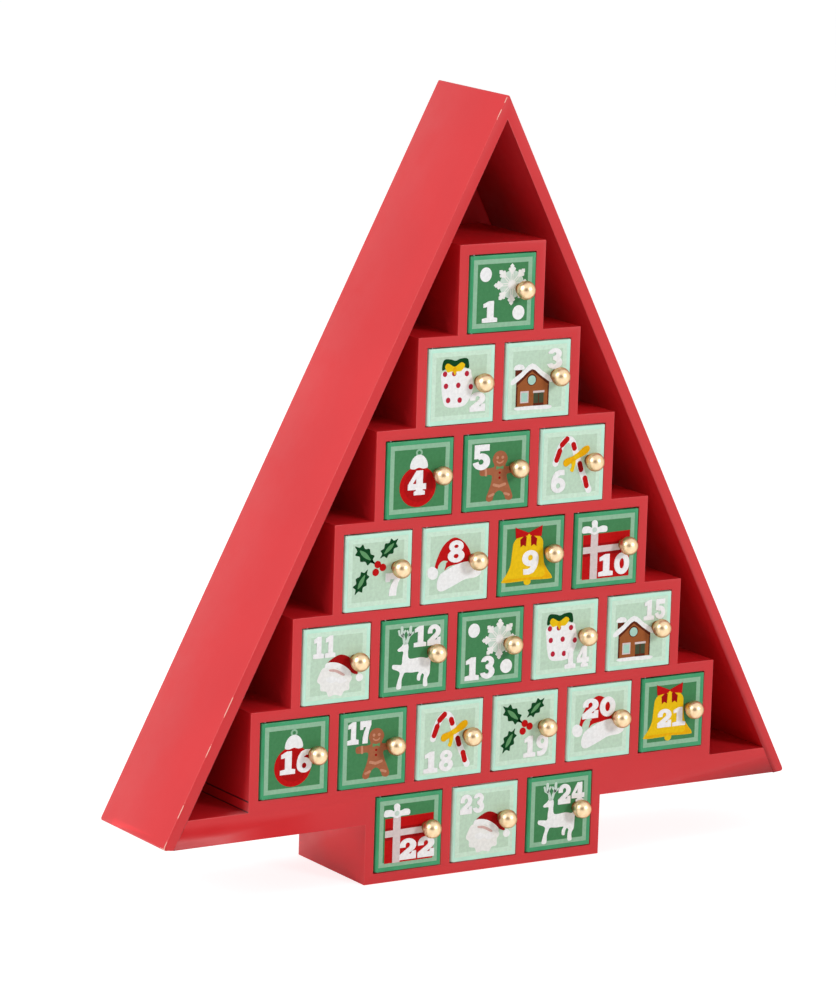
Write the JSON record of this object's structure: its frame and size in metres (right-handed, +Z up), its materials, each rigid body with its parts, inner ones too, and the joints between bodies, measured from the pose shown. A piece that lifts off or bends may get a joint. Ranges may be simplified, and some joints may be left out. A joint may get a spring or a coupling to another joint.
{
  "type": "advent calendar",
  "caption": "Free-standing wooden advent calendar shaped like a tree, with rows of small numbered hinged doors, each with a ball knob and a compartment behind it",
  "frame": {"origin": "centre of the trunk's underside, halfway between front and back", "axes": "+Z up, +X to the right as seen from the front, +Y towards the back"},
  "size_m": [0.345, 0.0705, 0.367],
  "materials": {
    "red_paint": "semi-gloss red paint",
    "green_door": "satin green print",
    "mint_door": "satin mint print",
    "knob_brass": "polished brass"
  },
  "bodies": {
    "calendar": {"left_side_board": "red_paint", "right_side_board": "red_paint", "base_rail_left": "red_paint", "base_rail_right": "red_paint", "back_panel": "red_paint", "trunk_box": "red_paint", "row_1_box": "red_paint", "row_2_box": "red_paint", "row_3_box": "red_paint", "row_4_box": "red_paint", "row_5_box": "red_paint", "row_6_box": "red_paint"},
    "door_01": {"door_01": "green_door", "knob_01": "knob_brass"},
    "door_02": {"door_02": "mint_door", "knob_02": "knob_brass"},
    "door_03": {"door_03": "mint_door", "knob_03": "knob_brass"},
    "door_04": {"door_04": "green_door", "knob_04": "knob_brass"},
    "door_05": {"door_05": "green_door", "knob_05": "knob_brass"},
    "door_06": {"door_06": "mint_door", "knob_06": "knob_brass"},
    "door_07": {"door_07": "mint_door", "knob_07": "knob_brass"},
    "door_08": {"door_08": "mint_door", "knob_08": "knob_brass"},
    "door_09": {"door_09": "green_door", "knob_09": "knob_brass"},
    "door_10": {"door_10": "green_door", "knob_10": "knob_brass"},
    "door_11": {"door_11": "mint_door", "knob_11": "knob_brass"},
    "door_12": {"door_12": "green_door", "knob_12": "knob_brass"},
    "door_13": {"door_13": "green_door", "knob_13": "knob_brass"},
    "door_14": {"door_14": "mint_door", "knob_14": "knob_brass"},
    "door_15": {"door_15": "mint_door", "knob_15": "knob_brass"},
    "door_16": {"door_16": "green_door", "knob_16": "knob_brass"},
    "door_17": {"door_17": "green_door", "knob_17": "knob_brass"},
    "door_18": {"door_18": "mint_door", "knob_18": "knob_brass"},
    "door_19": {"door_19": "mint_door", "knob_19": "knob_brass"},
    "door_20": {"door_20": "mint_door", "knob_20": "knob_brass"},
    "door_21": {"door_21": "green_door", "knob_21": "knob_brass"},
    "door_22": {"door_22": "green_door", "knob_22": "knob_brass"},
    "door_23": {"door_23": "mint_door", "knob_23": "knob_brass"},
    "door_24": {"door_24": "green_door", "knob_24": "knob_brass"}
  },
  "joints": [
    {"name": "door_01_hinge", "type": "hinge", "parent": "calendar", "child": "door_01", "pos_m": [-0.0154, -0.0285, 0.2755], "axis": [0, 0, -1], "range_deg": [0, 100]},
    {"name": "door_02_hinge", "type": "hinge", "parent": "calendar", "child": "door_02", "pos_m": [-0.0364, -0.0285, 0.2335], "axis": [0, 0, -1], "range_deg": [0, 100]},
    {"name": "door_03_hinge", "type": "hinge", "parent": "calendar", "child": "door_03", "pos_m": [0.0056, -0.0285, 0.2335], "axis": [0, 0, -1], "range_deg": [0, 100]},
    {"name": "door_04_hinge", "type": "hinge", "parent": "calendar", "child": "door_04", "pos_m": [-0.0574, -0.0285, 0.1915], "axis": [0, 0, -1], "range_deg": [0, 100]},
    {"name": "door_05_hinge", "type": "hinge", "parent": "calendar", "child": "door_05", "pos_m": [-0.0154, -0.0285, 0.1915], "axis": [0, 0, -1], "range_deg": [0, 100]},
    {"name": "door_06_hinge", "type": "hinge", "parent": "calendar", "child": "door_06", "pos_m": [0.0266, -0.0285, 0.1915], "axis": [0, 0, -1], "range_deg": [0, 100]},
    {"name": "door_07_hinge", "type": "hinge", "parent": "calendar", "child": "door_07", "pos_m": [-0.0784, -0.0285, 0.1495], "axis": [0, 0, -1], "range_deg": [0, 100]},
    {"name": "door_08_hinge", "type": "hinge", "parent": "calendar", "child": "door_08", "pos_m": [-0.0364, -0.0285, 0.1495], "axis": [0, 0, -1], "range_deg": [0, 100]},
    {"name": "door_09_hinge", "type": "hinge", "parent": "calendar", "child": "door_09", "pos_m": [0.0056, -0.0285, 0.1495], "axis": [0, 0, -1], "range_deg": [0, 100]},
    {"name": "door_10_hinge", "type": "hinge", "parent": "calendar", "child": "door_10", "pos_m": [0.0476, -0.0285, 0.1495], "axis": [0, 0, -1], "range_deg": [0, 100]},
    {"name": "door_11_hinge", "type": "hinge", "parent": "calendar", "child": "door_11", "pos_m": [-0.0994, -0.0285, 0.1075], "axis": [0, 0, -1], "range_deg": [0, 100]},
    {"name": "door_12_hinge", "type": "hinge", "parent": "calendar", "child": "door_12", "pos_m": [-0.0574, -0.0285, 0.1075], "axis": [0, 0, -1], "range_deg": [0, 100]},
    {"name": "door_13_hinge", "type": "hinge", "parent": "calendar", "child": "door_13", "pos_m": [-0.0154, -0.0285, 0.1075], "axis": [0, 0, -1], "range_deg": [0, 100]},
    {"name": "door_14_hinge", "type": "hinge", "parent": "calendar", "child": "door_14", "pos_m": [0.0266, -0.0285, 0.1075], "axis": [0, 0, -1], "range_deg": [0, 100]},
    {"name": "door_15_hinge", "type": "hinge", "parent": "calendar", "child": "door_15", "pos_m": [0.0686, -0.0285, 0.1075], "axis": [0, 0, -1], "range_deg": [0, 100]},
    {"name": "door_16_hinge", "type": "hinge", "parent": "calendar", "child": "door_16", "pos_m": [-0.1204, -0.0285, 0.0655], "axis": [0, 0, -1], "range_deg": [0, 100]},
    {"name": "door_17_hinge", "type": "hinge", "parent": "calendar", "child": "door_17", "pos_m": [-0.0784, -0.0285, 0.0655], "axis": [0, 0, -1], "range_deg": [0, 100]},
    {"name": "door_18_hinge", "type": "hinge", "parent": "calendar", "child": "door_18", "pos_m": [-0.0364, -0.0285, 0.0655], "axis": [0, 0, -1], "range_deg": [0, 100]},
    {"name": "door_19_hinge", "type": "hinge", "parent": "calendar", "child": "door_19", "pos_m": [0.0056, -0.0285, 0.0655], "axis": [0, 0, -1], "range_deg": [0, 100]},
    {"name": "door_20_hinge", "type": "hinge", "parent": "calendar", "child": "door_20", "pos_m": [0.0476, -0.0285, 0.0655], "axis": [0, 0, -1], "range_deg": [0, 100]},
    {"name": "door_21_hinge", "type": "hinge", "parent": "calendar", "child": "door_21", "pos_m": [0.0896, -0.0285, 0.0655], "axis": [0, 0, -1], "range_deg": [0, 100]},
    {"name": "door_22_hinge", "type": "hinge", "parent": "calendar", "child": "door_22", "pos_m": [-0.0574, -0.0285, 0.0235], "axis": [0, 0, -1], "range_deg": [0, 100]},
    {"name": "door_23_hinge", "type": "hinge", "parent": "calendar", "child": "door_23", "pos_m": [-0.0154, -0.0285, 0.0235], "axis": [0, 0, -1], "range_deg": [0, 100]},
    {"name": "door_24_hinge", "type": "hinge", "parent": "calendar", "child": "door_24", "pos_m": [0.0266, -0.0285, 0.0235], "axis": [0, 0, -1], "range_deg": [0, 100]}
  ]
}
